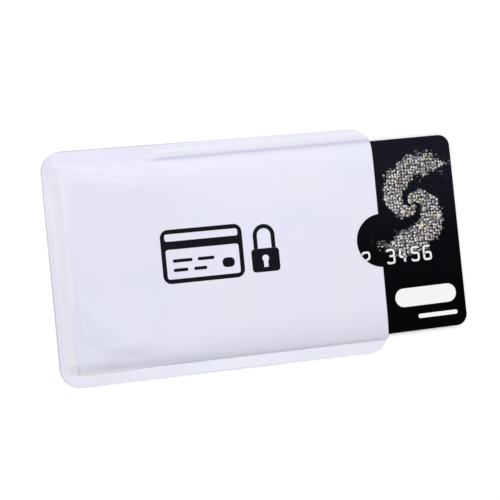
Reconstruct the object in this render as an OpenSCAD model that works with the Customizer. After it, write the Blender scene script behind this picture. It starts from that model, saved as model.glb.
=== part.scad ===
// Shielded card sleeve: two foil laminate panels sealed on three sides, with a
// payment card slid part of the way out of the open end.
// The sleeve lies on its back panel. X runs from the closed end to the mouth, Y across,
// and Z is up. The origin is the centre of the sleeve's outline on its back face.

/* [Sleeve outline] */
// Length of the sleeve from the closed end to the mouth
sleeve_l = 91.3; // [91:0.1:110]
// Radius of the outline's four corners
corner_r = 5.4; // [1:0.2:8]

/* [Seals] */
// Width of each long heat seal
side_seal_w = 2.6; // [1.5:0.1:5]
// Width of the heat seal across the closed end
end_seal_w = 3.7; // [2.5:0.1:4]
// Thickness of the sealing layer between the two liners
seal_t = 0.04; // [0.02:0.01:0.1]

/* [Laminate] */
// Thickness of the printed outer film
film_t = 0.06; // [0.03:0.01:0.15]
// Thickness of the shielding foil
foil_t = 0.04; // [0.02:0.01:0.1]
// Thickness of the paper liner inside
liner_t = 0.1; // [0.05:0.01:0.2]

/* [Pocket] */
// Room beside the card between the two long seals, both sides together
card_room = 3.22; // [2:0.02:12]
// Gap between the back liner and the card
under_clear = 0.05; // [0.03:0.01:0.2]
// Gap over the card's face along its long edges
over_clear = 0.06; // [0.03:0.01:0.3]
// Gap beside the card before the front panel turns down
side_clear = 0.12; // [0.05:0.01:0.3]
// Height of the front panel's crown above the card's edges, with room for raised numbers
crown_h = 0.9; // [0.5:0.05:1.5]
// Length over which the crown rises from the closed end
crown_run = 13; // [6:1:30]
// Length of the slope from the end seal up to the card's height
end_slope = 1.1; // [0.8:0.1:1.6]

/* [Thumb notch] */
// Radius of the notch in both panels
notch_r = 7.4; // [5:0.1:12]
// Distance of the notch's centre outside the mouth
notch_out = 0.5; // [0:0.1:3]
// Distance of the notch's centre from the sleeve's middle, towards -Y
notch_low = 0.3; // [0:0.1:2]

/* [Card] */
// Length of the card
card_l = 85.6; // [80:0.1:85.6]
// Width of the card
card_w = 53.98; // [50:0.01:54]
// Radius of the card's corners
card_r = 3.18; // [1:0.01:4]
// How far the card stands out of the mouth
card_out = 23.7; // [0:0.1:40]
// How far the card's centre lies from the pocket's middle towards +Y
card_up = 0.26; // [0:0.02:0.5]
// Angle by which the card lies askew in the pocket, its outer end towards +Y
card_skew = 0.68; // [0:0.02:0.8]

/* [Card layers] */
// Thickness of each clear overlay
overlay_t = 0.08; // [0.06:0.01:0.1]
// Thickness of each core sheet
core_t = 0.24; // [0.2:0.01:0.3]
// Thickness of the sheet that carries the antenna
inlay_t = 0.12; // [0.12:0.01:0.16]

/* [Chip] */
// Length of the contact plate along the card
plate_l = 13; // [11:0.1:13.4]
// Width of the contact plate
plate_w = 11.8; // [10.5:0.1:12.4]
// Radius of the contact plate's corners
plate_r = 2; // [0.5:0.1:3]
// Thickness of the contact plate
plate_t = 0.16; // [0.12:0.01:0.2]
// Depth of the grooves between contacts
groove_t = 0.04; // [0.02:0.01:0.06]
// Width of the grooves between contacts
groove_w = 0.25; // [0.1:0.05:0.5]
// Distance of the two columns of contacts from the chip's centre
column_x = 2.6; // [2:0.1:3.4]
// Distance from one row of contacts to the next
row_pitch = 2.54; // [2:0.01:2.8]
// Side of the square resin block under the plate
resin_w = 8; // [6:0.1:8.4]
// Radius of the resin block's corners
resin_r = 0.8; // [0.2:0.1:2]
// Gap round the plate and the resin block in their pockets
chip_clear = 0.05; // [0.02:0.01:0.1]
// Chip centre from the card's closed-end edge
chip_x = 15.06; // [14.6:0.01:16]
// Chip centre from the card's +Y edge
chip_y = 23.89; // [20:0.01:26]
// Radius of the two bonds from the plate to the antenna
bond_r = 0.6; // [0.3:0.05:0.7]
// Distance of each bond from the chip's centre
bond_x = 5.3; // [5.1:0.05:5.6]

/* [Antenna] */
// Number of turns
turns = 4; // [2:1:4]
// Width of the track
track_w = 0.5; // [0.3:0.05:0.7]
// Thickness of the track and of its bridge
track_t = 0.03; // [0.02:0.01:0.04]
// Distance from one turn to the next
track_pitch = 1.1; // [0.9:0.1:1.2]
// Distance of the outer turn from the card's edges
track_inset = 3; // [2.5:0.1:3.4]
// Radius of the turns' corners
track_r = 1.6; // [1:0.1:3]
// Radius of the pads at the track's ends
pad_r = 0.75; // [0.75:0.05:0.9]
// Radius of the posts through the carrier sheet
post_r = 0.3; // [0.2:0.05:0.4]
// Distance of the inner post from the innermost full turn
post_gap = 1.3; // [1.3:0.05:1.6]

/* [Card back] */
// Width of the magnetic stripe
stripe_w = 12.7; // [9:0.1:13]
// Distance of the stripe from the card's +Y edge
stripe_y = 4.6; // [4:0.1:5.5]
// Length of the signature panel
sign_l = 67; // [40:1:72]
// Width of the signature panel
sign_w = 9.5; // [6:0.1:12]
// Gap between the stripe and the signature panel
sign_gap = 3; // [1:0.1:6]
// Distance of the signature panel from the card's mouth-end edge
sign_x = 6; // [3:0.5:10]
// Thickness of the stripe and of the signature panel
strip_t = 0.03; // [0.02:0.01:0.04]

/* [Hidden] */
$fn = 96;
crown_n = 12;
run_n = 6;
bend_n = 4;
past = 5; // how far cutting shapes run past what they cut
crown_over = 0.05; // how far the rise along the sleeve ends above the crown

panel_t = film_t + foil_t + liner_t;
seam_z = panel_t + seal_t; // underside of the front panel at the seals
pocket_y = (card_w + card_room) / 2; // inner edge of each long seal
sleeve_w = 2 * (pocket_y + side_seal_w); // width of the sleeve across its two long seals
pocket_x = -sleeve_l / 2 + end_seal_w; // inner edge of the end seal

card_t = 2 * overlay_t + 2 * core_t + inlay_t;
card_z = panel_t + under_clear;
ceiling_z = card_z + card_t + over_clear;
card_x = sleeve_l / 2 + card_out - card_l / 2;
card_reach = (card_w * cos(card_skew) + card_l * sin(card_skew)) / 2; // half the card's extent in Y
shoulder_py = card_up + card_reach + side_clear;
shoulder_my = card_up - card_reach - side_clear;
crown_mid = (shoulder_py + shoulder_my) / 2;
crown_half = (shoulder_py - shoulder_my) / 2;
shoulder_x = pocket_x + end_slope;
top_z = ceiling_z + crown_h + panel_t;

rear_core_z = card_z + overlay_t;
inlay_z = rear_core_z + core_t;
front_core_z = inlay_z + inlay_t;
front_overlay_z = front_core_z + core_t;
card_top = card_z + card_t;
plate_z = card_top - plate_t;

// From here on, X and Y are measured from the card's centre, along the card's own edges
chip_cx = -card_l / 2 + chip_x;
chip_cy = card_w / 2 - chip_y;

near_pad = [chip_cx - bond_x, chip_cy];
far_pad = [chip_cx + bond_x, chip_cy];
outer_end = [left_x(0), chip_cy];
inner_post = [left_x(turns - 1) + post_gap, chip_cy];
lead_y = chip_cy - plate_w / 2 - track_pitch;

// The antenna's route: from the outer post round each turn, then under the chip's lower side to the far pad
route = concat(
    [outer_end],
    [for (k = [0:turns - 1]) each [
        [left_x(k), top_y(k)], [right_x(k), top_y(k)], [right_x(k), bottom_y(k)], [left_x(k + 1), bottom_y(k)]
    ]],
    [[left_x(turns), lead_y], [far_pad.x, lead_y], far_pad]
);

stripe_top = card_w / 2 - stripe_y;
sign_top = stripe_top - stripe_w - sign_gap;

// A flat plate with round corners, centred on the origin, standing on z = 0
module rounded_plate(l, w, r, h) {
    linear_extrude(height = h) {
        square([l - 2 * r, w], center = true);
        square([l, w - 2 * r], center = true);
        for (x = [-1, 1], y = [-1, 1])
            translate([x * (l / 2 - r), y * (w / 2 - r)]) circle(r);
    }
}

// The sleeve's outline as a plate from z = from to z = to
module sleeve_outline(from, to) {
    translate([0, 0, from]) rounded_plate(sleeve_l, sleeve_w, corner_r, to - from);
}

// The round cut that lets a thumb reach the card
module thumb_notch() {
    translate([sleeve_l / 2 + notch_out, -notch_low, -past]) cylinder(r = notch_r, h = top_z + 2 * past);
}

// Height of a full, flat-topped crown of height h, at the share u of the way from its middle to its edge
function crown_at(u, h) = h * (1 - pow(u, 4));

// The front panel across the sleeve, raised by h from its underside: seal, slope, crown, slope, seal
function across(h) = concat(
    [[-sleeve_w / 2 - past, seam_z + h], [-pocket_y, seam_z + h]],
    [for (i = [0:crown_n]) let (u = 2 * i / crown_n - 1)
        [crown_mid + u * crown_half, ceiling_z + crown_at(u, crown_h) + h]],
    [[pocket_y, seam_z + h], [sleeve_w / 2 + past, seam_z + h]]
);

// The front panel along the sleeve: end seal, slope, and the rise to just over the crown
function along(h) = concat(
    [[-sleeve_l / 2 - past, seam_z + h], [pocket_x, seam_z + h]],
    [for (i = [0:run_n]) let (u = i / run_n)
        [shoulder_x + u * crown_run, ceiling_z + crown_at(1 - u, crown_h + crown_over) + h]],
    [[sleeve_l / 2 + past, ceiling_z + crown_h + crown_over + h]]
);

// Closes a line of points down to the height z
function down_to(line, z) = concat(line, [[line[len(line) - 1].x, z], [line[0].x, z]]);

// Everything under the front panel's surface at the height h above its underside
module under_front(h, floor_z) {
    intersection() {
        rotate([90, 0, 90])
            linear_extrude(height = sleeve_l + 2 * past, center = true)
                polygon(down_to(across(h), floor_z));
        rotate([90, 0, 0])
            linear_extrude(height = sleeve_w + 2 * past, center = true)
                polygon(down_to(along(h), floor_z));
    }
}

// One layer of the front panel, between two heights above its underside
module front_layer(from, to) {
    difference() {
        intersection() {
            sleeve_outline(0, top_z + past);
            difference() {
                under_front(to, 0);
                under_front(from, -past);
            }
        }
        thumb_notch();
    }
}

// One layer of the flat back panel
module back_layer(from, to) {
    difference() {
        sleeve_outline(from, to);
        thumb_notch();
    }
}

module front_film() { color("lavender") front_layer(liner_t + foil_t, panel_t); }
module front_foil() { color("silver") front_layer(liner_t, liner_t + foil_t); }
module front_liner() { color("white") front_layer(0, liner_t); }
module back_film() { color("lavender") back_layer(0, film_t); }
module back_foil() { color("silver") back_layer(film_t, film_t + foil_t); }
module back_liner() { color("white") back_layer(film_t + foil_t, panel_t); }

// A long seal on the side that s gives, +1 or -1
module side_seal(s) {
    intersection() {
        sleeve_outline(panel_t, seam_z);
        translate([0, s * (pocket_y + side_seal_w), 0])
            cube([sleeve_l + past, 2 * side_seal_w, past], center = true);
    }
}

module top_seal() { color("whitesmoke") side_seal(1); }
module bottom_seal() { color("whitesmoke") side_seal(-1); }

module end_seal() {
    color("whitesmoke") intersection() {
        sleeve_outline(panel_t, seam_z);
        translate([pocket_x - end_seal_w, 0, 0])
            cube([2 * end_seal_w, 2 * pocket_y, past], center = true);
    }
}

// Puts what is drawn round the card's centre in its place in the sleeve
module place_card() {
    translate([card_x, card_up, 0]) rotate(card_skew) children();
}

// A sheet of the card's full outline
module card_sheet(z, t) {
    translate([0, 0, z]) rounded_plate(card_l, card_w, card_r, t);
}

// A block on the chip's centre, grown by g on every side
module at_chip(l, w, r, z, t, g = 0) {
    translate([chip_cx, chip_cy, z]) rounded_plate(l + 2 * g, w + 2 * g, r + g, t);
}

module plate_pocket() { at_chip(plate_l, plate_w, plate_r, plate_z, plate_t + past, chip_clear); }

module resin_block(g = 0) { at_chip(resin_w, resin_w, resin_r, inlay_z, plate_z - inlay_z, g); }

module card_front_overlay() {
    color("black") place_card() difference() {
        card_sheet(front_overlay_z, overlay_t);
        plate_pocket();
    }
}

module card_front_core() {
    color("dimgray") place_card() difference() {
        card_sheet(front_core_z, core_t);
        plate_pocket();
        resin_block(chip_clear);
        bonds();
    }
}

// Unit vector from a to b
function unit(a, b) = (b - a) / norm(b - a);
// Cross product of two directions: 1 for a left turn, -1 for a right turn
function turn(a, b) = a.x * b.y - a.y * b.x;

// Points round the corner at b, on a line offset by s to the left of the route a, b, c
function bend(a, b, c, s) =
    let (d = unit(a, b), e = unit(b, c), mid = b + track_r * (e - d), r = track_r - turn(d, e) * s)
    [for (i = [0:bend_n]) let (t = 90 * i / bend_n) mid + r * (d * sin(t) - e * cos(t))];

// One side of a route, offset by s to its left
function side_of(p, s) =
    let (n = len(p) - 1, d = unit(p[0], p[1]), e = unit(p[n - 1], p[n]))
    concat(
        [p[0] + s * [-d.y, d.x]],
        [for (i = [1:n - 1]) each bend(p[i - 1], p[i], p[i + 1], s)],
        [p[n] + s * [-e.y, e.x]]
    );

function reversed(p) = [for (i = [len(p) - 1:-1:0]) p[i]];

// How far turn k lies inside the card's edges
function inset(k) = track_inset + k * track_pitch;
function left_x(k) = -card_l / 2 + inset(k);
function right_x(k) = card_l / 2 - inset(k);
function top_y(k) = card_w / 2 - inset(k);
function bottom_y(k) = -card_w / 2 + inset(k);

// The antenna: the coil with its two pads, and the short lead to the near pad
module coil() {
    translate([0, 0, front_core_z - track_t]) {
        linear_extrude(height = track_t)
            polygon(concat(side_of(route, track_w / 2), reversed(side_of(route, -track_w / 2))));
        for (p = [outer_end, far_pad, inner_post, near_pad])
            translate(p) cylinder(r = pad_r, h = track_t);
        translate([inner_post.x, chip_cy - track_w / 2, 0])
            cube([near_pad.x - inner_post.x, track_w, track_t]);
    }
}

// The bridge under the carrier sheet, with a post up to the coil at each end
module bridge() {
    translate([outer_end.x, chip_cy - track_w / 2, inlay_z])
        cube([inner_post.x - outer_end.x, track_w, track_t]);
    for (p = [outer_end, inner_post]) translate([p.x, p.y, inlay_z]) {
        cylinder(r = pad_r, h = track_t);
        cylinder(r = post_r, h = inlay_t - track_t);
    }
}

// The two bonds that join the contact plate to the antenna's pads
module bonds() {
    for (p = [near_pad, far_pad])
        translate([p.x, p.y, front_core_z]) cylinder(r = bond_r, h = plate_z - front_core_z);
}

module card_inlay() {
    color("white") place_card() difference() {
        card_sheet(inlay_z, inlay_t);
        coil();
        bridge();
        resin_block(chip_clear);
    }
}

module antenna_coil() { color("silver") place_card() coil(); }
module antenna_bridge() { color("silver") place_card() bridge(); }

// The contact plate: grooves part its face into eight contacts round a middle field
module chip_contact_plate() {
    color("gold") place_card() difference() {
        at_chip(plate_l, plate_w, plate_r, plate_z, plate_t);
        translate([chip_cx, chip_cy, card_top - groove_t]) {
            for (s = [-1, 1]) {
                translate([s * column_x - groove_w / 2, -plate_w, 0]) cube([groove_w, 2 * plate_w, past]);
                for (k = [-1:1])
                    translate([s > 0 ? column_x : -plate_l, k * row_pitch - groove_w / 2, 0])
                        cube([plate_l - column_x, groove_w, past]);
            }
        }
    }
}

module chip_resin() { color("black") place_card() resin_block(); }
module chip_bonds() { color("gray") place_card() bonds(); }
module card_rear_core() { color("dimgray") place_card() card_sheet(rear_core_z, core_t); }

module stripe() {
    translate([-card_l / 2, stripe_top - stripe_w, card_z]) cube([card_l, stripe_w, strip_t]);
}

module sign_strip() {
    translate([card_l / 2 - sign_x - sign_l, sign_top - sign_w, card_z])
        cube([sign_l, sign_w, strip_t]);
}

module card_rear_overlay() {
    color("black") place_card() difference() {
        card_sheet(card_z, overlay_t);
        stripe();
        sign_strip();
    }
}

module magnetic_stripe() { color("saddlebrown") place_card() stripe(); }
module signature_panel() { color("white") place_card() sign_strip(); }

front_film();
front_foil();
front_liner();
back_film();
back_foil();
back_liner();
top_seal();
bottom_seal();
end_seal();
card_front_overlay();
card_front_core();
card_inlay();
card_rear_core();
card_rear_overlay();
antenna_coil();
antenna_bridge();
chip_contact_plate();
chip_resin();
chip_bonds();
magnetic_stripe();
signature_panel();
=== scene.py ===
import math
import bmesh
import bpy
import numpy as np
from mathutils import Matrix, Vector

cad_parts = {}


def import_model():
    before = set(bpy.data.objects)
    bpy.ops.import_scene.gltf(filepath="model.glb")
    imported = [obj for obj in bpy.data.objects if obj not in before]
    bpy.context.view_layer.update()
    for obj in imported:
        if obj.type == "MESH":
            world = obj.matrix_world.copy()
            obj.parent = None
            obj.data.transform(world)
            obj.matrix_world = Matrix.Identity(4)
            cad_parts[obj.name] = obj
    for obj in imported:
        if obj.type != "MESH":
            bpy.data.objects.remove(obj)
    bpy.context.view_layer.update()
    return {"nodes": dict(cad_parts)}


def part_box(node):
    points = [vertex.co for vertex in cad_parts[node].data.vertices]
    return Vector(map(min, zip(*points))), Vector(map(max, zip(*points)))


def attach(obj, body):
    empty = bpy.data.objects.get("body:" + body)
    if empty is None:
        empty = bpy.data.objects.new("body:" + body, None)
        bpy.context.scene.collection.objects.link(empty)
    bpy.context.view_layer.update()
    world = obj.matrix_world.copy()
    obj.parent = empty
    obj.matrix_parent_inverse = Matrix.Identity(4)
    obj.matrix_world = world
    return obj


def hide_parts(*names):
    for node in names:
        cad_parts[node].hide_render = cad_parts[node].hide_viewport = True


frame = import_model()
nodes = frame["nodes"]
mm = 0.001
print("frame loaded")

# places taken from the frame, in millimetres
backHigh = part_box("back_film")[1] / mm
cardLow, cardHigh = [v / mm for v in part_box("card_front_overlay")]
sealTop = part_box("top_seal")[1].z / mm  # the front panel's underside at the seals
halfL, halfW = backHigh.x, backHigh.y
card = dict(length=85.6, width=53.98, skew=0.68,  # skew in degrees
            x=(cardLow.x + cardHigh.x) / 2, y=(cardLow.y + cardHigh.y) / 2)


# small helpers for objects and for shader trees

def addObject(name, data):
    obj = bpy.data.objects.new(name, data)
    bpy.context.scene.collection.objects.link(obj)
    return obj


def paintNodes(*pairs):  # a finish for each of the frame's own pieces
    for node, mat in pairs:
        nodes[node].data.materials.clear()
        nodes[node].data.materials.append(mat)


def newNode(tree, kind, **inputs):
    node = tree.nodes.new(kind)
    for name, value in inputs.items():
        node.inputs[name].default_value = value
    return node


def link(tree, a, b):
    tree.links.new(a, b)


def newMaterial(name, colour, rough, metal=0.0, specular=0.5, coat=0.0, coatRough=0.1):
    mat = bpy.data.materials.new(name)
    mat.use_nodes = True
    shader = mat.node_tree.nodes["Principled BSDF"]
    shader.inputs["Base Color"].default_value = (*colour, 1)
    shader.inputs["Roughness"].default_value = rough
    shader.inputs["Metallic"].default_value = metal
    shader.inputs["Specular IOR Level"].default_value = specular
    shader.inputs["Coat Weight"].default_value = coat
    shader.inputs["Coat Roughness"].default_value = coatRough
    return mat


def shaderInput(mat, name):
    return mat.node_tree.nodes["Principled BSDF"].inputs[name]


def feed(mat, name, socket):  # a tree's output into the material's own shader
    link(mat.node_tree, socket, shaderInput(mat, name))


def objectCoords(tree, scale=(1, 1, 1)):
    coords = newNode(tree, "ShaderNodeTexCoord")
    mapping = newNode(tree, "ShaderNodeMapping", Scale=scale)
    link(tree, coords.outputs["Object"], mapping.inputs["Vector"])
    return mapping.outputs["Vector"]


def axesOf(tree, vector):
    node = newNode(tree, "ShaderNodeSeparateXYZ")
    link(tree, vector, node.inputs[0])
    return node.outputs


def noiseFor(tree, vector, scale, detail=2.0, rough=0.5):
    noise = newNode(tree, "ShaderNodeTexNoise", Scale=scale, Detail=detail, Roughness=rough)
    link(tree, vector, noise.inputs["Vector"])
    return noise.outputs["Fac"]


def ramp(tree, fac, stops):
    node = newNode(tree, "ShaderNodeValToRGB")
    while len(node.color_ramp.elements) < len(stops):
        node.color_ramp.elements.new(0.5)
    for element, (place, colour) in zip(node.color_ramp.elements, stops):
        element.position = place
        element.color = (*colour, 1)
    link(tree, fac, node.inputs["Fac"])
    return node.outputs["Color"]


def mapRange(tree, value, fromLow, fromHigh, toLow, toHigh):
    node = newNode(tree, "ShaderNodeMapRange")
    for name, v in (("From Min", fromLow), ("From Max", fromHigh), ("To Min", toLow), ("To Max", toHigh)):
        node.inputs[name].default_value = v
    link(tree, value, node.inputs["Value"])
    return node.outputs["Result"]


def spread(tree, noise, low, high):  # noise lies mostly between 0.3 and 0.7
    return mapRange(tree, noise, 0.3, 0.7, low, high)


def calc(tree, operation, a, b=None, c=None):
    node = tree.nodes.new("ShaderNodeMath")
    node.operation = operation
    for socket, value in zip(node.inputs, (a, b, c)):
        if value is None:
            continue
        if isinstance(value, (int, float)):
            socket.default_value = value
        else:
            link(tree, value, socket)
    return node.outputs[0]


def mixColour(tree, fac, a, b):
    node = tree.nodes.new("ShaderNodeMix")
    node.data_type = "RGBA"
    for name, value in (("Factor_Float", fac), ("A_Color", a), ("B_Color", b)):
        socket = next(s for s in node.inputs if s.identifier == name)
        if isinstance(value, tuple):
            socket.default_value = (*value, 1)
        else:
            link(tree, value, socket)
    return next(s for s in node.outputs if s.identifier == "Result_Color")


def bumpFrom(mat, height, strength, distance):
    tree = mat.node_tree
    bump = newNode(tree, "ShaderNodeBump", Strength=strength, Distance=distance)
    link(tree, height, bump.inputs["Height"])
    feed(mat, "Normal", bump.outputs["Normal"])


# finishes of the sleeve
filmFinish = dict(lavender=(0.715, 0.71, 0.825), rough=0.36, metal=0.34, coat=0.12, coatRough=0.25,
                  grain=2600)


def newFilm(name):
    f = filmFinish
    return newMaterial(name, f["lavender"], f["rough"], f["metal"], coat=f["coat"], coatRough=f["coatRough"])


def filmTint(tree, noise, cool, rose, coolTo, roseFrom):  # lavender that drifts to a cooler and a rosier tone
    return ramp(tree, noise, [(coolTo, cool), (0.5, filmFinish["lavender"]), (roseFrom, rose)])


def makePearlFilm():
    # the pale pressed colour paints light on the front panel, and the dark tint paints shade on it
    settings = dict(cool=(0.70, 0.708, 0.83), rose=(0.73, 0.712, 0.815), pressedAndLit=(0.875, 0.88, 0.935),
                    paintedShadeTint=(0.30, 0.30, 0.42), cloud=38, soft=420, softHeight=3.0,
                    roughRange=(0.33, 0.40), bump=0.12, depth=0.00002)
    mat = newFilm("pearlFilm")
    tree = mat.node_tree
    place = objectCoords(tree)
    cloud = noiseFor(tree, place, settings["cloud"])
    colour = filmTint(tree, cloud, settings["cool"], settings["rose"], 0.36, 0.66)
    # the panel's own attributes mix in painted light, on its pressed bands and a few streaks and slopes, and
    # painted shade, along its folds and over its empty end
    for name, other in (("sealed", settings["pressedAndLit"]), ("paintedShade", settings["paintedShadeTint"])):
        attribute = newNode(tree, "ShaderNodeAttribute")
        attribute.attribute_name = name
        colour = mixColour(tree, attribute.outputs["Fac"], colour, other)
    feed(mat, "Base Color", colour)
    grain = noiseFor(tree, place, filmFinish["grain"])
    feed(mat, "Roughness", spread(tree, grain, *settings["roughRange"]))
    soft = noiseFor(tree, place, settings["soft"], 3)
    height = calc(tree, "MULTIPLY_ADD", soft, settings["softHeight"], grain)
    bumpFrom(mat, height, settings["bump"], settings["depth"])
    return mat


def makeBackFilm():
    settings = dict(cool=(0.66, 0.665, 0.79), rose=(0.745, 0.725, 0.825), pressedAndLit=(0.80, 0.795, 0.87),
                    pressedShare=0.8, sealIn=halfW - 2.6, endIn=-halfL + 3.7, sealEdge=0.2,
                    cloud=45, dents=75, dentHeight=25.0, sealHeight=-4.0,
                    roughRange=(0.31, 0.42), bump=0.3, depth=0.00002)
    mat = newFilm("backFilm")
    tree = mat.node_tree
    place = objectCoords(tree)
    cloud = noiseFor(tree, place, settings["cloud"], 3)
    tint = filmTint(tree, cloud, settings["cool"], settings["rose"], 0.34, 0.66)
    axes = axesOf(tree, place)

    def sealBand(value, start, outside, inside):  # changes over across the edge of a seal
        edge = settings["sealEdge"]
        return mapRange(tree, value, (start - edge) * mm, (start + edge) * mm, outside, inside)

    across = sealBand(calc(tree, "ABSOLUTE", axes["Y"]), settings["sealIn"], 0, 1)
    along = sealBand(axes["X"], settings["endIn"], 1, 0)
    pressedAndLit = calc(tree, "MAXIMUM", across, along)
    share = calc(tree, "MULTIPLY", pressedAndLit, settings["pressedShare"])
    feed(mat, "Base Color", mixColour(tree, share, tint, settings["pressedAndLit"]))
    grain = noiseFor(tree, place, filmFinish["grain"])
    feed(mat, "Roughness", spread(tree, grain, *settings["roughRange"]))
    dents = noiseFor(tree, objectCoords(tree, scale=(0.6, 1, 1)), settings["dents"])
    uneven = calc(tree, "MULTIPLY_ADD", pressedAndLit, settings["sealHeight"], grain)
    uneven = calc(tree, "MULTIPLY_ADD", dents, settings["dentHeight"], uneven)
    bumpFrom(mat, uneven, settings["bump"], settings["depth"])
    return mat


def makeFoil():
    settings = dict(bright=(0.78, 0.79, 0.80), dark=(0.66, 0.67, 0.69), rough=0.3, roughRange=(0.22, 0.42),
                    rolled=3000, along=(0.04, 1, 1), bump=0.1, depth=0.00001)
    mat = newMaterial("shieldFoil", settings["bright"], settings["rough"], metal=1.0)
    tree = mat.node_tree
    rolled = noiseFor(tree, objectCoords(tree, scale=settings["along"]), settings["rolled"], 3)
    feed(mat, "Base Color", ramp(tree, rolled, [(0.35, settings["dark"]), (0.65, settings["bright"])]))
    feed(mat, "Roughness", spread(tree, rolled, *settings["roughRange"]))
    bumpFrom(mat, rolled, settings["bump"], settings["depth"])
    return mat


def makePaper():
    settings = dict(white=(0.86, 0.86, 0.85), fibre=(0.80, 0.79, 0.77), rough=0.72,
                    fibres=1800, along=(0.4, 1, 1), bump=0.25, depth=0.00002)
    mat = newMaterial("paperLiner", settings["white"], settings["rough"], specular=0.3)
    tree = mat.node_tree
    fibres = noiseFor(tree, objectCoords(tree, scale=settings["along"]), settings["fibres"], 4, 0.65)
    feed(mat, "Base Color", ramp(tree, fibres, [(0.35, settings["fibre"]), (0.6, settings["white"])]))
    bumpFrom(mat, fibres, settings["bump"], settings["depth"])
    return mat


def makeSealLayer():
    settings = dict(clear=(0.84, 0.84, 0.83), cloudy=(0.78, 0.78, 0.80), rough=0.45, cloud=900)
    mat = newMaterial("sealLayer", settings["clear"], settings["rough"], specular=0.4)
    tree = mat.node_tree
    cloud = noiseFor(tree, objectCoords(tree), settings["cloud"])
    feed(mat, "Base Color", ramp(tree, cloud, [(0.4, settings["cloudy"]), (0.6, settings["clear"])]))
    return mat


def makePrintInk():
    settings = dict(ink=(0.0045, 0.0042, 0.009), worn=(0.012, 0.012, 0.019), rough=0.42,
                    roughRange=(0.36, 0.50), specks=2400)
    mat = newMaterial("printInk", settings["ink"], settings["rough"], specular=0.04)
    tree = mat.node_tree
    specks = noiseFor(tree, objectCoords(tree), settings["specks"], 3, 0.6)
    feed(mat, "Base Color", ramp(tree, specks, [(0.45, settings["ink"]), (0.72, settings["worn"])]))
    feed(mat, "Roughness", spread(tree, specks, *settings["roughRange"]))
    return mat


pearlFilm = makePearlFilm()
backFilm = makeBackFilm()
shieldFoil = makeFoil()
paperLiner = makePaper()
sealLayer = makeSealLayer()
printInk = makePrintInk()
print("sleeve finishes ready")

# the front panel: one height for its underside, which its three layers share
# each slope runs from its foot at a seal up to its head beside the card; slack values hold at the empty end
panel = dict(cornerR=5.4, notchR=7.4, notchOut=0.5, notchLow=0.3,
             home=-24.1, beside=0.1,  # how far the card can slide in, and the room beside its upper edge
             topFoot=2.7, topFootSlack=31.0, topRounding=0.35, topRoll=7.5,
             lowFoot=-27.95, lowFootSlack=-28.35, lowHead=-27.34, lowSharpness=1.5,
             endFoot=-45.5, endHead=-40.9, endRounding=0.5, endRoll=15.0, bendR=3.0,
             cardStart=-16.5, cardBlend=5.0,
             roof=cardHigh.z + 0.06, crown=0.8, highest=0.9,
             wrinkle=0.014, waves=dict(seed=4, count=7, longest=42, shortest=9),
             lowRoll=((-41, -35, -30, -24, -10, 0, 10, 22, 46),  # along the panel
                      (18, 12.5, 8, 6.2, 5.6, 7.2, 9.2, 10.2, 9.5)))  # how wide the crown rolls out there

# wrinkles of the empty end: height, place, both radii, turn in degrees
emptyFolds = ((0.16, -39.6, 3, 1.1, 22, 2),  # crest by the end seal
              (0.13, -31, 25.4, 9, 1.3, -12), (0.13, -27, 21.8, 9, 1.6, -8),  # fans from the upper corner
              (0.12, -34.5, -14, 8, 1.6, -46), (-0.16, -36.5, -21, 4, 2.4, -30),  # buckles below
              (0.16, -27, -21.0, 5, 1.3, 8), (-0.14, -25.5, -24.4, 4, 1.2, 6),
              (0.12, -14.5, -23.4, 4, 1.2, 0))


def ease(t):
    t = np.clip(t, 0, 1)
    return t * t * (3 - 2 * t)


def after(v, start, width):  # 0 up to start, 1 from a width farther on
    return ease((v - start) / width)


def before(v, stop, width):  # 1 up to a width before stop, 0 from stop on
    return ease((stop - v) / width)


def near(distance, ahead, behind=None):  # 1 on a line, fading at its own width on either side
    width = ahead if behind is None else np.where(distance > 0, ahead, behind)
    return np.exp(-((distance / width) ** 2))


def rollOut(t):  # rises at once and flattens out
    t = np.clip(t, 0, 1)
    return 1 - (1 - t) ** 2


def rounded(t, share):  # a straight slope with its ends eased by a share
    return share * ease(t) + (1 - share) * t


def hill(x, y, x0, y0, rx, ry, turn=0.0):  # a soft bump with two radii, turned by some degrees
    c, s = math.cos(math.radians(turn)), math.sin(math.radians(turn))
    u, v = (x - x0) * c + (y - y0) * s, -(x - x0) * s + (y - y0) * c
    return np.exp(-((u / rx) ** 2) - (v / ry) ** 2)


def slackAt(x):  # 1 where the pocket is empty, 0 over the card
    return ease((panel["cardStart"] - x) / panel["cardBlend"] + 0.5)


def waves(x, y, seed, count, longest, shortest):  # low wrinkles, about -1 to 1
    rng = np.random.default_rng(seed)
    total = 0
    for length, turn, start in zip(np.geomspace(longest, shortest, count), rng.uniform(0, math.pi, count),
                                   rng.uniform(0, 2 * math.pi, count)):
        k = 2 * math.pi / length
        total = total + np.sin(k * (x * math.cos(turn) + y * math.sin(turn)) + start)
    return total / count


def cardEdge(x, side, slide=0.0):  # the askew card's upper or lower edge, side +1 or -1, moved by slide
    tilt = math.radians(card["skew"])
    along = x - slide - card["x"]
    return card["y"] + along * math.tan(tilt) + side * card["width"] / 2 / math.cos(tilt)


def lowHeadAt(x):  # the lower slope's head, which turns up round the card's corner at the closed end
    bend = np.clip(panel["endHead"] + panel["bendR"] - x, 0, panel["bendR"])
    return panel["lowHead"] + panel["bendR"] - np.sqrt(panel["bendR"] ** 2 - bend ** 2)


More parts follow.
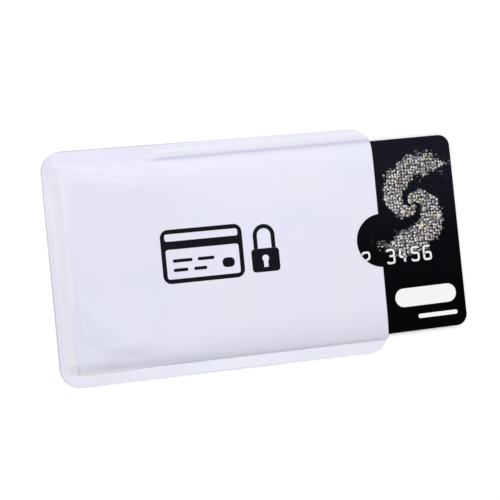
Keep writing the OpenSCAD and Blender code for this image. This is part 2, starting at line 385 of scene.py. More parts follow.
def underside(x, y):
    p = panel
    slack = slackAt(x)
    topHead = cardEdge(x, 1, p["home"]) + p["beside"]  # clear of the card wherever it slides
    foot = cardEdge(x, 1) + p["topFoot"]
    foot = foot + (p["topFootSlack"] - foot) * slack
    t = np.clip((foot - y) / (foot - topHead), 0, 1)
    step = rounded(t, p["topRounding"]) * (1 - slack) + t * slack
    soft = before(x, -18, 14)  # the lower crease is sharp beside the card and soft at the empty end
    foot = p["lowFoot"] + (p["lowFootSlack"] - p["lowFoot"]) * soft
    t = np.clip((y - foot) / (lowHeadAt(x) - foot), 0, 1)
    step = step * (ease(t) * soft + (1 - (1 - t) ** p["lowSharpness"]) * (1 - soft))
    t = np.clip((x - p["endFoot"]) / (p["endHead"] - p["endFoot"]), 0, 1)
    step = step * rounded(t, p["endRounding"])
    # the crown rolls out of the slopes' heads; by the lower one a fifth of it rises at once
    rise = y - p["lowHead"]
    low = 0.78 * rollOut(rise / np.interp(x, *p["lowRoll"])) + 0.22 * (1 - np.exp(-np.maximum(rise, 0) / 1.1))
    top = rollOut((topHead - 0.4 * (1 - slack) - y) / p["topRoll"])
    crown = p["crown"] * top * low
    crown = crown * (1 - slack * (1 - rollOut((x - p["endHead"]) / p["endRoll"] + 0.25)))
    folds = sum(height * hill(x, y, *place) for height, *place in emptyFolds)
    wrinkles = p["wrinkle"] * waves(x, y, **p["waves"])
    crown = np.clip(crown + folds * slack + wrinkles * np.minimum(crown / 0.3, 1), 0, p["highest"])
    return sealTop + step * (p["roof"] - sealTop + crown)


def lowSlope(x, y):  # 1 on the slope down to the lower seal
    cornered = before(x, -39.8, 1.2)  # softer round the pocket's corner
    fromFoot = after(y, panel["lowFootSlack"] - 0.25 + 0.5 * cornered, 0.35 + 2 * cornered)
    return before(y, lowHeadAt(x) + 0.1, 0.35) * fromFoot * after(x, -44.4, 2.4)


# how strong the painted shade is, 0 to 1; line and broad give places along the panel and the painted shade
# there
paintedShade = dict(fold=0.42, foldEased=0.04, foldWidths=(0.42, 0.6), under=0.09, underWide=0.035,
              line=((-12, 0, 46), (0.0, 0.03, 0.0)),
              broad=((-10, 4, 20, 46), (0.0, 0.09, 0.10, 0.08)), wide=0.045,
              quiet=0.055, topMargin=0.16, fans=0.07, corner=0.15, topRim=0.45, leftRim=0.3, lowRim=0.35)


def paintedShadeAt(x, y):  # painted shade: darker along the film's folds over the card's edges, over the empty end and along parts of the outline
    c = paintedShade
    slack = slackAt(x)
    # along the card's upper edge
    over = y - cardEdge(x, 1)
    fold = over - 0.36 + 0.1 * ease(x / 25)
    top = (c["fold"] - c["foldEased"] * after(x, -15, 10)) * near(fold, *c["foldWidths"]) * (1 - slack)
    below = c["under"] * near(over + 0.5, 0.75) + c["underWide"] * near(over + 1.5, 3.0)
    top = top + below * after(x, -17, 12)
    # along its lower edge
    rise = y - panel["lowHead"]
    line = np.interp(x, *c["line"]) * near(rise, 0.9, 0.2)
    broad = np.interp(x, *c["broad"]) * near(rise, 5.0, 0.2)
    broad = broad + c["wide"] * after(x, -14, 12) * after(rise, 0.5, 2) * near(rise, 12)
    # painted shade: the empty end is a little darker all over, apart from its pressed band and one lighter
    # swell
    besideBand = after(x, -42.2, 1.6) + 0.5 * before(x, -43.6, 1.2)
    quiet = c["quiet"] * before(x, -4, 16) * before(y, 22, 6) * besideBand
    quiet = quiet + c["topMargin"] * slack * after(y, 26.5, 1.5)
    quiet = quiet * (1 - 0.9 * hill(x, y, -27, -13, 9, 5)) + 0.07 * hill(x, y, -15.5, 23.8, 3.5, 1.8)
    fans = slack * (c["fans"] * after(y, 17, 4) * before(y, 28, 2) - 0.07 * hill(x, y, -25, 21, 7, 1.8))
    fans = fans + 0.045 * hill(x, y, -23, 26.8, 5, 1.2)
    corner = c["corner"] * near(y + 26.2, 1.1) * after(x, -41.5, 2) * before(x, -24, 6)
    corner = corner + 0.05 * hill(x, y, -23.5, -24.9, 4.5, 1.8, 12)
    corner = corner + 0.06 * hill(x, y, -23.5, -25.4, 3.5, 0.8)
    # painted shadow: a thin dark line along parts of the outline
    rim = c["topRim"] * after(y, halfW - 0.3, 0.3) * before(x, 8, 20)
    rim = rim + c["leftRim"] * before(x, 0.35 - halfL, 0.3) * before(y, 8, 12)
    rim = rim + c["lowRim"] * before(y, 0.3 - halfW, 0.3) * after(x, -12, 8) * before(x, 24, 20)
    wall = lowSlope(x, y) * before(x, -12, 8)  # the short slope stays light
    return top + line + broad + (quiet + fans + corner) * (1 - wall) + rim


# strengths of the painted light, 0 to 1: how much brighter the pressed bands are, and the mouth's edge, the
# band by the end seal and the short slope at the empty end
paintedLightStrength = dict(top=0.28, topBright=0.6, low=((-46, -30, -14, 4, 20, 46), (0.1, 0.2, 0.6, 0.7, 0.4, 0.25)),
                mouth=0.5, endDim=0.2, streaks=0.3, lowEnd=0.35)


def sealedShade(x, y):  # painted light: brighter where the layers are pressed together and the film lies flat, along the mouth's edge, on the band by the end seal and on the short slope at the empty end
    p = paintedLightStrength
    over = y - cardEdge(x, 1)
    top = (p["top"] + p["topBright"] * before(over, 2.9, 0.9)) * after(over, 0.75, 0.5) * (1 - slackAt(x))
    top = top + 0.22 * hill(x, y, 22, 17, 22, 6) + 0.35 * hill(x, y, -44.6, 20, 2.2, 7)
    low = before(y, panel["lowFoot"] + 0.1, 0.3) * np.interp(x, *p["low"])
    mouth = p["mouth"] * after(x, 44.9, 1.0)
    # painted light on the band beside the end seal, with soft upright painted highlights
    upper = after(y, -12, 20)
    streaks = p["streaks"] * upper * (hill(x, y, -43.2, 0, 0.5, 99) + hill(x, y, -41.2, 0, 0.6, 99))
    end = after(x, -44.9, 1.2) * before(x, -40.6 + after(y, -14, 8), 1.4)
    end = end * (1 - p["endDim"] * upper + streaks) * before(y, 27, 5) * after(y, -30, 5)
    # painted light on the lower band at the empty end and on the short slope above it, which counts twice, so
    # all is halved
    slope = lowSlope(x, y)
    flat = p["lowEnd"] * (0.2 + 0.8 * after(x, -42.5, 3)) * before(y, lowHeadAt(x) + 0.1, 0.35)
    lowEnd = np.maximum(slope, flat) * before(x, -14, 8)
    pressedAndLit = np.clip(top + low + end + lowEnd + mouth, 0, 1)
    return (pressedAndLit + slope * before(x, -17, 12)) / 2


def rowPlaces():  # from the upper edge down, close together where the panel bends
    p = panel
    straight = halfW - p["cornerR"]
    corner = [straight + p["cornerR"] * math.sin(math.radians(a)) for a in np.linspace(90, 0, 13)]
    rows = [y for y in corner if y > 30.1]
    rows += list(np.arange(30.0, 26.3, -0.1))
    rows += list(np.linspace(26.1, 17, 30))
    rows += list(np.linspace(16.4, p["notchR"], 14))
    rows += [p["notchR"] * math.sin(math.radians(a)) - p["notchLow"] for a in np.linspace(89.4, -89.4, 47)]
    rows += list(np.linspace(-p["notchR"] - p["notchLow"] - 0.15, -14, 12))
    rows += list(np.linspace(-14.4, p["lowHead"] + 0.3, 36))
    rows += list(np.arange(p["lowHead"] + 0.1, p["lowFoot"] - 0.15, -0.1))
    rows += list(np.arange(p["lowFoot"] - 0.3, p["lowFootSlack"], -0.25))
    rows += [-y for y in reversed(corner) if y > 0.1 - p["lowFootSlack"]]
    return np.array(rows)


def rowEnds(y):  # where each row starts and stops: rounded corners, and the notch at the right
    p = panel
    over = np.clip(np.abs(y) - (halfW - p["cornerR"]), 0, p["cornerR"])
    inset = p["cornerR"] - np.sqrt(p["cornerR"] ** 2 - over ** 2)
    left, right = -halfL + inset, halfL - inset
    reach = np.sqrt(np.maximum(p["notchR"] ** 2 - (y + p["notchLow"]) ** 2, 0))
    notch = halfL + p["notchOut"] - reach
    return left, np.minimum(right, notch)


def columnShares():  # places along a row, as shares of its length
    x = np.concatenate([np.linspace(-46, -36, 44), np.linspace(-35.7, -10, 58), np.linspace(-9.3, 44.8, 68),
                        [45.2, 45.6, 45.85, 46]])
    return (x - x[0]) / (x[-1] - x[0])


def panelGrid():
    rows = rowPlaces()
    left, right = rowEnds(rows)
    x = left[:, None] + (right - left)[:, None] * columnShares()[None, :]
    y = np.repeat(rows[:, None], x.shape[1], axis=1)
    return x, y, underside(x, y)


def makeLayer(name, low, high, faceMaterial, edgeMaterial):
    x, y, z = panelGrid()
    rows, cols = x.shape
    count = rows * cols
    top = np.stack([x, y, z + high], -1).reshape(-1, 3)
    bottom = np.stack([x, y, z + low], -1).reshape(-1, 3)
    i = np.arange(count).reshape(rows, cols)
    # rows run from +Y down and columns towards +X, so this order faces up
    quads = np.stack([i[1:, :-1], i[1:, 1:], i[:-1, 1:], i[:-1, :-1]], -1).reshape(-1, 4)
    under = quads[:, ::-1] + count
    rim = np.concatenate([i[0, ::-1], i[1:, 0], i[-1, 1:], i[-2:0:-1, -1]])
    following = np.roll(rim, -1)
    walls = np.stack([rim, rim + count, following + count, following], -1)
    points = np.concatenate([top, bottom]) * mm
    faces = np.concatenate([quads, under, walls])
    mesh = bpy.data.meshes.new(name)
    mesh.from_pydata(points.tolist(), [], faces.tolist())
    mesh.materials.append(faceMaterial)
    mesh.materials.append(edgeMaterial)
    smooth = np.ones(len(mesh.polygons), bool)
    smooth[len(quads) * 2:] = False
    mesh.polygons.foreach_set("use_smooth", smooth)
    mesh.polygons.foreach_set("material_index", np.where(smooth, 0, 1))
    # each point's share of painted shade and painted light, for the film's colour
    for kind, shade in (("paintedShade", paintedShadeAt(x, y)), ("sealed", sealedShade(x, y))):
        attribute = mesh.attributes.new(kind, "FLOAT", "POINT")
        attribute.data.foreach_set("value", np.tile(shade.ravel(), 2).astype(np.float32))
    mesh.update()
    return addObject(name, mesh)


layers = dict(liner=0.1, foil=0.04, film=0.06, skin=0.0005)  # skin keeps the foil's faces off its neighbours
skin = layers["skin"]
linerTop, foilTop = layers["liner"], layers["liner"] + layers["foil"]
frontLiner = makeLayer("frontLiner", 0, linerTop, paperLiner, paperLiner)
frontFoil = makeLayer("frontFoil", linerTop + skin, foilTop - skin, shieldFoil, shieldFoil)
frontFilm = makeLayer("frontFilm", foilTop, foilTop + layers["film"], pearlFilm, paperLiner)
for piece, node, slotName in ((frontLiner, "front_liner", "paper_liner"),
                              (frontFoil, "front_foil", "shield_foil"),
                              (frontFilm, "front_film", "pearl_film")):
    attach(piece, "sleeve")
    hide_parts(node)
paintNodes(("back_film", backFilm), ("back_foil", shieldFoil), ("back_liner", paperLiner),
           ("top_seal", sealLayer), ("bottom_seal", sealLayer), ("end_seal", sealLayer))
print("sleeve panels made:", len(frontFilm.data.polygons), "faces in the film")


# flat prints: outlines in millimetres, round their own centre until they are moved

def roundedBox(width, height, radius, steps=8):
    points = []
    for cx, cy, start in ((1, 1, 0), (-1, 1, 90), (-1, -1, 180), (1, -1, 270)):
        for a in np.radians(np.linspace(start, start + 90, steps)):
            points.append((cx * (width / 2 - radius) + radius * math.cos(a),
                           cy * (height / 2 - radius) + radius * math.sin(a)))
    return points


def arc(radius, start, stop, steps, lift):  # from one angle to another, its centre lifted along +Y
    angles = np.radians(np.linspace(start, stop, steps))
    return [(radius * math.cos(a), lift + radius * math.sin(a)) for a in angles]


def moved(points, dx, dy, turn=0.0):  # turned by some degrees, then shifted
    c, s = math.cos(math.radians(turn)), math.sin(math.radians(turn))
    return [(x * c - y * s + dx, x * s + y * c + dy) for x, y in points]


def recalculated(mesh, bm):  # faces outwards, then back into the mesh
    bmesh.ops.recalc_face_normals(bm, faces=bm.faces)
    bm.to_mesh(mesh)
    bm.free()


# an outline inside another cuts a hole; cut into cells, the print follows surface, the height beneath it
def printedShape(name, outlines, mat, surface, cell, thick):
    curve = bpy.data.curves.new(name, "CURVE")
    curve.dimensions = "2D"
    curve.fill_mode = "BOTH"
    curve.extrude = thick / 2 * mm
    for points in outlines:
        spline = curve.splines.new("POLY")
        spline.points.add(len(points) - 1)
        for point, (x, y) in zip(spline.points, points):
            point.co = (x * mm, y * mm, 0, 1)
        spline.use_cyclic_u = True
    draft = addObject(name, curve)
    mesh = bpy.data.meshes.new_from_object(draft)
    bpy.data.objects.remove(draft)
    bm = bmesh.new()
    bm.from_mesh(mesh)
    bmesh.ops.remove_doubles(bm, verts=bm.verts, dist=1e-7)
    low = [min(v.co[k] for v in bm.verts) for k in (0, 1)]
    high = [max(v.co[k] for v in bm.verts) for k in (0, 1)]
    if cell:
        for k, normal in ((0, (1, 0, 0)), (1, (0, 1, 0))):
            for place in np.arange(low[k] + cell * mm / 2, high[k], cell * mm):
                bmesh.ops.bisect_plane(bm, geom=bm.verts[:] + bm.edges[:] + bm.faces[:], dist=1e-8,
                                       plane_co=[place * (i == k) for i in range(3)], plane_no=normal)
    for vert in bm.verts:
        vert.co.z += surface(vert.co.x / mm, vert.co.y / mm) * mm
    recalculated(mesh, bm)
    mesh.materials.clear()
    mesh.materials.append(mat)
    return addObject(name, mesh)


# the sleeve's print: a card and a padlock as plain pictograms
# lines are the bars on the card: place from its centre, width and height
badge = dict(centre=(0.33, 0.79), thick=0.03, cell=1.0,
             cardX=-5.3, card=(22.5, 14.5), corner=2.2, stroke=1.2, band=2.2, bandY=3.0,
             overR=0.6, underR=0.7,
             lines=((-5.6, -1.2, 5.4, 0.9), (0.8, -1.2, 4.6, 0.9), (-6.3, -3.7, 4.0, 0.9),
                    (-0.9, -3.7, 3.6, 0.9), (6.9, -2.9, 3.4, 2.6)),
             lockX=12.0, lockLow=-6.5, lockTall=13, lock=(7.8, 6.4), lockR=1.0,
             shackleR=2.5, shackleStroke=1.15, shackleGap=0.02,
             keyhole=(0.95, -50, 230, 14, 0.5), keySlot=((-0.62, -1.9), (0.62, -1.9)))


def badgeOutlines():
    b = badge
    w, h = b["card"]
    s = b["stroke"]
    cx, cy = b["centre"][0] + b["cardX"], b["centre"][1]
    shapes = [moved(roundedBox(w, h, b["corner"]), cx, cy)]
    # two windows in the card: over and under its band
    inner = h / 2 - s
    bandLow = b["bandY"] - b["band"] / 2
    bandHigh = b["bandY"] + b["band"] / 2
    over = roundedBox(w - 2 * s, inner - bandHigh, b["overR"])
    under = roundedBox(w - 2 * s, inner + bandLow, b["underR"])
    shapes.append(moved(over, cx, cy + (inner + bandHigh) / 2))
    shapes.append(moved(under, cx, cy + (bandLow - inner) / 2))
    for dx, dy, width, height in b["lines"]:
        shapes.append(moved(roundedBox(width, height, min(width, height) * 0.45), cx + dx, cy + dy))
    # padlock: body with a keyhole, shackle above it
    lx, ly = b["centre"][0] + b["lockX"], cy + b["lockLow"] + b["lock"][1] / 2
    shapes.append(moved(roundedBox(*b["lock"], b["lockR"]), lx, ly))
    shapes.append(moved(arc(*b["keyhole"]) + list(b["keySlot"]), lx, ly))
    r, t, gap = b["shackleR"], b["shackleStroke"], b["shackleGap"]
    rise = b["lockTall"] - b["lock"][1] - r - t / 2
    outerR, innerR = r + t / 2, r - t / 2
    shackle = [(outerR, gap)] + arc(outerR, 0, 180, 17, rise) + [(-outerR, gap)]
    shackle += [(-innerR, gap)] + arc(innerR, 180, 0, 17, rise) + [(innerR, gap)]
    shapes.append(moved(shackle, lx, ly + b["lock"][1] / 2))
    return shapes


def filmTop(x, y):
    return float(underside(np.float64(x), np.float64(y))) + foilTop + layers["film"]


badgePrint = printedShape("badgePrint", badgeOutlines(), printInk, filmTop, badge["cell"], badge["thick"])
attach(badgePrint, "sleeve")
print("badge printed:", len(badgePrint.data.polygons), "faces")

# the card's face: a dark gloss with glitter in winding swirls, each given by its centre, reach and turn
# bend, ragged and drift: scale and depth of a noise; flake and burst: scale and randomness of their cells
cardArt = dict(navy=(0.0088, 0.0086, 0.0160), mid=(0.0045, 0.0046, 0.0078), dusk=(0.0016, 0.0014, 0.0036),
               black=(0.0003, 0.0003, 0.0007), silver=(0.215, 0.20, 0.23), dim=(0.082, 0.077, 0.098),
               gap=(0.005, 0.005, 0.008), white=(0.97, 0.96, 0.93), cream=(0.92, 0.885, 0.80),
               gold=(0.88, 0.78, 0.34), goldFrom=0.945, rough=0.28, roughRange=(0.24, 0.34), metal=0.25,
               bend=(0.22, 2.4), ragged=(0.9, 2.6), winding=4.2, arms=0.9, fill=0.55, edge=(-0.05, 0.12),
               flake=(1.2, 0.62), dot=(0.2, 0.42), bright=(0.2, 0.88), mottle=1.1,
               burst=(0.11, 1.0), burstDot=(0.03, 0.09), burstBright=0.6, drift=(0.05, 6.0), haze=6.0,
               swirls=((56.5, 9.0, 12.5, 0.4), (9.0, -13.0, 12.0, 2.0), (26.0, 16.0, 8.0, 4.0),
                       (-12.0, 17.0, 7.0, 1.0)))


def makeCardFace():
    s = cardArt
    mat = newMaterial("cardFace", s["mid"], s["rough"], specular=0.02)
    tree = mat.node_tree
    place = objectCoords(tree, scale=(1000, 1000, 1000))  # millimetres
    axes = axesOf(tree, place)
    x, y = axes["X"], axes["Y"]

    def centred(setting, *grain):  # a noise about zero
        scale, depth = setting
        return calc(tree, "MULTIPLY_ADD", noiseFor(tree, place, scale, *grain), depth, -depth / 2)

    bend = centred(s["bend"])
    ragged = centred(s["ragged"], 4, 0.75)

    def swirl(cx, cy, reach, start):  # two winding arms round a centre, fading out at their reach
        dx, dy = calc(tree, "SUBTRACT", x, cx), calc(tree, "SUBTRACT", y, cy)
        r = calc(tree, "SQRT", calc(tree, "MULTIPLY_ADD", dx, dx, calc(tree, "MULTIPLY", dy, dy)))
        angle = calc(tree, "MULTIPLY_ADD", calc(tree, "ARCTAN2", dy, dx), 2.0, start)
        logR = calc(tree, "LOGARITHM", calc(tree, "ADD", r, 1.5), math.e)
        wound = calc(tree, "MULTIPLY_ADD", logR, s["winding"], angle)
        arms = calc(tree, "SINE", calc(tree, "ADD", wound, bend))
        share = calc(tree, "DIVIDE", r, reach)
        fade = calc(tree, "MULTIPLY", share, share)
        level = calc(tree, "SUBTRACT", calc(tree, "MULTIPLY_ADD", arms, s["arms"], s["fill"]), fade)
        return mapRange(tree, calc(tree, "ADD", level, ragged), *s["edge"], 0, 1)

    def flakes(scale, randomness):
        cells = newNode(tree, "ShaderNodeTexVoronoi", Scale=scale, Randomness=randomness)
        cells.voronoi_dimensions = "2D"
        link(tree, place, cells.inputs["Vector"])
        return cells.outputs

    swirls = 0.0
    for settings in s["swirls"]:
        swirls = calc(tree, "MAXIMUM", swirl(*settings), swirls)
    cells = flakes(*s["flake"])
    pick = newNode(tree, "ShaderNodeSeparateColor")
    link(tree, cells["Color"], pick.inputs[0])
    dot = mapRange(tree, cells["Distance"], *s["dot"], 1, 0)
    bright = calc(tree, "MULTIPLY", dot, mapRange(tree, pick.outputs[0], 0.05, 0.75, *s["bright"]))
    fleck = mixColour(tree, pick.outputs[1], s["white"], s["cream"])
    fleck = mixColour(tree, calc(tree, "GREATER_THAN", pick.outputs[2], s["goldFrom"]), fleck, s["gold"])
    mottle = noiseFor(tree, place, s["mottle"], 4, 0.7)
    ground = ramp(tree, mottle, [(0.41, s["gap"]), (0.50, s["dim"]), (0.62, s["silver"])])
    glitter = mixColour(tree, bright, ground, fleck)
    bursts = mapRange(tree, flakes(*s["burst"])["Distance"], *s["burstDot"], s["burstBright"], 0)
    glitter = mixColour(tree, bursts, glitter, s["cream"])
    # the dark ground drifts from black below to navy above
    scale, depth = s["drift"]
    evenY = calc(tree, "SUBTRACT", y, depth / 2)
    drift = calc(tree, "MULTIPLY_ADD", noiseFor(tree, place, scale), depth, evenY)
    dark = ramp(tree, mapRange(tree, drift, -18, 25, 0, 1),
                [(0.0, s["black"]), (0.40, s["dusk"]), (0.60, s["mid"]), (0.95, s["navy"])])
    feed(mat, "Base Color", mixColour(tree, swirls, dark, glitter))
    feed(mat, "Metallic", calc(tree, "MULTIPLY", swirls, s["metal"]))
    feed(mat, "Roughness", spread(tree, noiseFor(tree, place, s["haze"], 3), *s["roughRange"]))
    return mat


speckle = dict(scale=1500, bump=0.1, depth=0.00001, smoother=0.05, rougher=0.07)


def makeSpeckled(name, colour, other, rough, metal=0.0, specular=0.4):
    mat = newMaterial(name, colour, rough, metal=metal, specular=specular)
    tree = mat.node_tree
    grain = noiseFor(tree, objectCoords(tree), speckle["scale"], 3, 0.6)
    feed(mat, "Base Color", ramp(tree, grain, [(0.36, other), (0.64, colour)]))
    feed(mat, "Roughness", spread(tree, grain, rough - speckle["smoother"], rough + speckle["rougher"]))
    bumpFrom(mat, grain, speckle["bump"], speckle["depth"])
    return mat


def makeContactGold():
    settings = dict(gold=(0.83, 0.62, 0.26), worn=(0.77, 0.56, 0.22), groove=(0.10, 0.07, 0.03), sunk=0.02,
                    rough=0.27, roughRange=(0.22, 0.34), brushed=2600, along=(0.15, 1, 1),
                    bump=0.06, depth=0.00001)
    mat = newMaterial("contactGold", settings["gold"], settings["rough"], metal=1.0)
    tree = mat.node_tree
    brushed = noiseFor(tree, objectCoords(tree, scale=settings["along"]), settings["brushed"], 3, 0.6)
    gold = ramp(tree, brushed, [(0.36, settings["worn"]), (0.64, settings["gold"])])
    z = axesOf(tree, objectCoords(tree))["Z"]
    grooves = calc(tree, "LESS_THAN", z, (cardHigh.z - settings["sunk"]) * mm)
    feed(mat, "Base Color", mixColour(tree, grooves, gold, settings["groove"]))
    feed(mat, "Roughness", spread(tree, brushed, *settings["roughRange"]))
    bumpFrom(mat, brushed, settings["bump"], settings["depth"])
    return mat


cardFace = makeCardFace()
cardBack = makeSpeckled("cardBack", (0.005, 0.005, 0.010), (0.0035, 0.0035, 0.008), 0.3, specular=0.1)
cardSheet = makeSpeckled("cardSheet", (0.022, 0.022, 0.030), (0.014, 0.014, 0.020), 0.5)
inlaySheet = makeSpeckled("inlaySheet", (0.80, 0.80, 0.78), (0.70, 0.70, 0.68), 0.55)
antennaMetal = makeSpeckled("antennaMetal", (0.80, 0.81, 0.82), (0.66, 0.67, 0.68), 0.32, metal=1.0)
contactGold = makeContactGold()
chipResin = makeSpeckled("chipResin", (0.018, 0.018, 0.018), (0.03, 0.03, 0.03), 0.6)
bondSilver = makeSpeckled("bondSilver", (0.45, 0.45, 0.46), (0.33, 0.33, 0.34), 0.5, metal=0.6)
stripeBrown = makeSpeckled("stripeBrown", (0.030, 0.020, 0.016), (0.018, 0.012, 0.010), 0.38)
writingWhite = makeSpeckled("writingWhite", (0.85, 0.85, 0.83), (0.74, 0.76, 0.79), 0.7)
tipSilver = makeSpeckled("tipSilver", (0.97, 0.97, 0.97), (0.90, 0.90, 0.91), 0.34)
markWhite = makeSpeckled("markWhite", (0.95, 0.95, 0.95), (0.91, 0.91, 0.92), 0.4)
paintNodes(("card_front_overlay", cardFace), ("card_rear_overlay", cardBack), ("card_front_core", cardSheet),
           ("card_rear_core", cardSheet), ("card_inlay", inlaySheet), ("antenna_coil", antennaMetal),
           ("antenna_bridge", antennaMetal), ("chip_contact_plate", contactGold), ("chip_resin", chipResin),
           ("chip_bonds", bondSilver), ("magnetic_stripe", stripeBrown), ("signature_panel", writingWhite))
print("card finishes ready")

# raised numbers: strokes swept along a path, a dark ridge with a silver tip
# ridge and tip: width at the foot, width at the top and height over the card; strokes reach from -1 to 1
digits = dict(text="1234 5678 9012 3456", lastX=card["length"] / 2 - 10.1, pitch=3.63,
              rowY=21.42 - card["width"] / 2, cell=(2.0, 3.7), fillet=0.55, sunk=0.06,
              ridge=(1.05, 0.65, 0.42), tip=(0.60, 0.60, 0.46),
              strokes={
                  "0": [[(-1, -1), (1, -1), (1, 1), (-1, 1), (-1, -1)]],
                  "1": [[(-.45, .7), (.05, 1), (.05, -1)]],
                  "2": [[(-1, .65), (-1, 1), (1, 1), (1, .1), (-1, -.45), (-1, -1), (1, -1)]],
                  "3": [[(-1, .75), (-1, 1), (1, 1), (1, .05), (-.3, .05)],
                        [(1, .05), (1, -1), (-1, -1), (-1, -.75)]],
                  "4": [[(-.7, 1), (-1, -.25), (1, -.25)], [(.45, .3), (.45, -1)]],
                  "5": [[(.9, 1), (-.9, 1), (-1, .15), (1, .15), (1, -1), (-1, -1), (-1, -.7)]],
                  "6": [[(.85, 1), (-1, 1), (-1, -1), (1, -1), (1, .05), (-1, .05)]],
                  "7": [[(-1, .7), (-1, 1), (1, 1), (.1, -1)]],
                  "8": [[(-1, .05), (-1, 1), (1, 1), (1, .05), (-1, .05), (-1, -1), (1, -1), (1, .05)]],
                  "9": [[(-.85, -1), (1, -1), (1, 1), (-1, 1), (-1, -.05), (1, -.05)]]})


def onCard(points):  # from the card's own centre and edges to the frame
    return moved(points, card["x"], card["y"], card["skew"])


def digitLines():
    lines = []
    count = len(digits["text"])
    for i, letter in enumerate(digits["text"]):
        x = digits["lastX"] - (count - 1 - i) * digits["pitch"]
        for stroke in digits["strokes"].get(letter, []):
            lines.append(onCard([(x + u * digits["cell"][0] / 2, digits["rowY"] + v * digits["cell"][1] / 2)
                                 for u, v in stroke]))
    return lines


def sweptStrokes(name, profile, mat):
    width, topWidth, height = profile
    sunk = digits["sunk"]  # the foot lies this far inside the card
    curve = bpy.data.curves.new(name, "CURVE")
    curve.dimensions = "3D"
    for points in digitLines():
        spline = curve.splines.new("POLY")
        spline.points.add(len(points) - 1)
        for point, (x, y) in zip(spline.points, points):
            point.co = (x * mm, y * mm, (cardHigh.z + height / 2 - sunk / 2) * mm, 1)
    draft = addObject(name, curve)
    group = bpy.data.node_groups.new(name, "GeometryNodeTree")
    group.interface.new_socket("Geometry", in_out="INPUT", socket_type="NodeSocketGeometry")
    bend = group.interface.new_socket("Corner Radius", in_out="INPUT", socket_type="NodeSocketFloat")
    group.interface.new_socket("Geometry", in_out="OUTPUT", socket_type="NodeSocketGeometry")
    start, end = group.nodes.new("NodeGroupInput"), group.nodes.new("NodeGroupOutput")
    bending = group.nodes.new("GeometryNodeFilletCurve")
    bending.mode = "POLY"
    bending.inputs["Count"].default_value = 4
    bending.inputs["Limit Radius"].default_value = True
    normal = group.nodes.new("GeometryNodeSetCurveNormal")
    normal.mode = "Z_UP"
    shape = group.nodes.new("GeometryNodeCurvePrimitiveQuadrilateral")
    shape.mode = "TRAPEZOID"
    for side, size in (("Bottom Width", width), ("Top Width", topWidth), ("Height", height + sunk),
                       ("Offset", 0)):
        shape.inputs[side].default_value = size * mm
    sweep = newNode(group, "GeometryNodeCurveToMesh", **{"Fill Caps": True})
    real = group.nodes.new("GeometryNodeRealizeInstances")
    paint = newNode(group, "GeometryNodeSetMaterial", Material=mat)
    for a, b in ((start.outputs["Geometry"], bending.inputs["Curve"]),
                 (start.outputs["Corner Radius"], bending.inputs["Radius"]),
                 (bending.outputs[0], normal.inputs["Curve"]), (normal.outputs[0], sweep.inputs["Curve"]),
                 (shape.outputs[0], sweep.inputs["Profile Curve"]), (sweep.outputs[0], real.inputs[0]),
                 (real.outputs[0], paint.inputs["Geometry"]), (paint.outputs[0], end.inputs[0])):
        link(group, a, b)
    modifier = draft.modifiers.new("strokes", "NODES")
    modifier.node_group = group
    modifier[bend.identifier] = digits["fillet"] * mm
    mesh = bpy.data.meshes.new_from_object(draft.evaluated_get(bpy.context.evaluated_depsgraph_get()))
    bpy.data.objects.remove(draft)
    bm = bmesh.new()
    bm.from_mesh(mesh)
    recalculated(mesh, bm)
    heights = [v.co.z / mm - cardHigh.z for v in mesh.vertices]
    print(name, len(mesh.polygons), "faces, up to", round(max(heights), 3), "mm over the card")
    return addObject(name, mesh)


digitRidge = sweptStrokes("digitRidge", digits["ridge"], cardFace)
digitTips = sweptStrokes("digitTips", digits["tip"], tipSilver)

# printed marks on the card: a pill and a thin bar
marks = dict(pill=(18.2, 5.2, 2.55), pillAt=(31.1, -17.5), bar=(11.8, 1.2, 0.57), barAt=(34.2, -23.1),
             thick=0.04)


def cardTop(x, y):  # the card's face is flat
    return cardHigh.z


pill = onCard(moved(roundedBox(*marks["pill"]), *marks["pillAt"]))
bar = onCard(moved(roundedBox(*marks["bar"]), *marks["barAt"]))
cardMarks = printedShape("cardMarks", [pill, bar], markWhite, cardTop, 0, marks["thick"])
for piece in (digitRidge, digitTips, cardMarks):
    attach(piece, "card")
print("numbers and marks on the card")

# camera: its place in millimetres, three turns in degrees, focal length and frame in pixels
view = dict(place=(-78.2, 4.12, 347.08), tip=0.588, turn=14.051, roll=5.578,
            focal=1313.1, frameSize=500, sensor=36)
camera = addObject("camera", bpy.data.cameras.new("camera"))
camera.data.sensor_width = view["sensor"]
camera.data.lens = view["focal"] / view["frameSize"] * view["sensor"]
camera.data.clip_start, camera.data.clip_end = 0.01, 10
turned = Matrix.Identity(4)
for angle, axis in ((view["tip"], "X"), (view["turn"], "Y"), (view["roll"], "Z")):
    turned = turned @ Matrix.Rotation(-math.radians(angle), 4, axis)
camera.matrix_world = Matrix.Translation(Vector(view["place"]) * mm) @ turned
bpy.context.scene.camera = camera

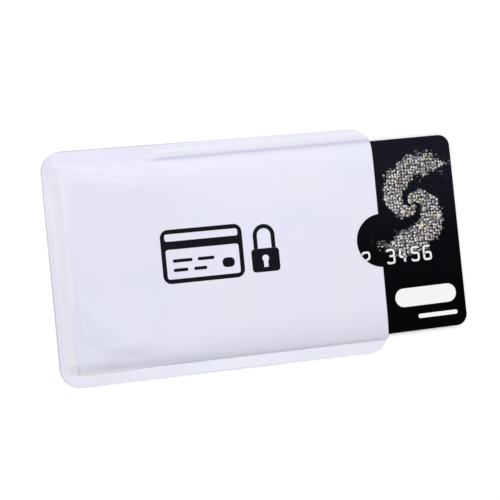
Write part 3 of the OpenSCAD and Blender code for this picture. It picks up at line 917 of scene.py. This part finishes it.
# lamps: place and size in metres, power in watts; all of them point at the sleeve
lamps = dict(keyLamp=((0.0, 0.5, 0.62), (1.5, 0.55), 2.35),
             topLamp=((0.06, 0.115, 1.2), (2.0, 1.3), 8.0),
             lowLamp=((0.1, -0.9, 0.5), (1.2, 0.4), 1.2))
for name, (place, size, power) in lamps.items():
    lamp = bpy.data.lights.new(name, "AREA")
    lamp.shape = "RECTANGLE"
    lamp.size, lamp.size_y = size
    lamp.energy = power
    obj = addObject(name, lamp)
    obj.location = place
    obj.rotation_euler = (-Vector(place)).to_track_quat("-Z", "Y").to_euler()

# white all round: near the object the floor glows faintly, and farther out the camera sees it plain white
backdrop = dict(room=0.4, half=1.5, drop=0.00002, white=(0.96, 0.96, 0.96), rough=0.9,
                glow=0.12, fade=(0.16, 0.6))
world = bpy.data.worlds.new("room")
bpy.context.scene.world = world
world.use_nodes = True
background = world.node_tree.nodes["Background"]
background.inputs["Color"].default_value = (1, 1, 1, 1)
seen = newNode(world.node_tree, "ShaderNodeLightPath").outputs["Is Camera Ray"]
strength = mapRange(world.node_tree, seen, 0, 1, backdrop["room"], 1)
link(world.node_tree, strength, background.inputs["Strength"])

floorMesh = bpy.data.meshes.new("floor")
half = backdrop["half"]
floorCorners = [(-half, -half, 0), (half, -half, 0), (half, half, 0), (-half, half, 0)]
floorMesh.from_pydata(floorCorners, [], [(0, 1, 2, 3)])
floor = addObject("floor", floorMesh)
floor.location.z = -backdrop["drop"]
floorWhite = newMaterial("floorWhite", backdrop["white"], backdrop["rough"], specular=0.0)
shaderInput(floorWhite, "Emission Color").default_value = (1, 1, 1, 1)
tree = floorWhite.node_tree
away = newNode(tree, "ShaderNodeVectorMath")
away.operation = "LENGTH"
link(tree, objectCoords(tree), away.inputs[0])
fade = mapRange(tree, away.outputs["Value"], *backdrop["fade"], 0.0, 1.0)
seen = newNode(tree, "ShaderNodeLightPath").outputs["Is Camera Ray"]
feed(floorWhite, "Emission Strength", calc(tree, "MULTIPLY_ADD", fade, seen, backdrop["glow"]))
floorMesh.materials.append(floorWhite)
bpy.context.scene.view_settings.view_transform = "Standard"

print("scene ready")
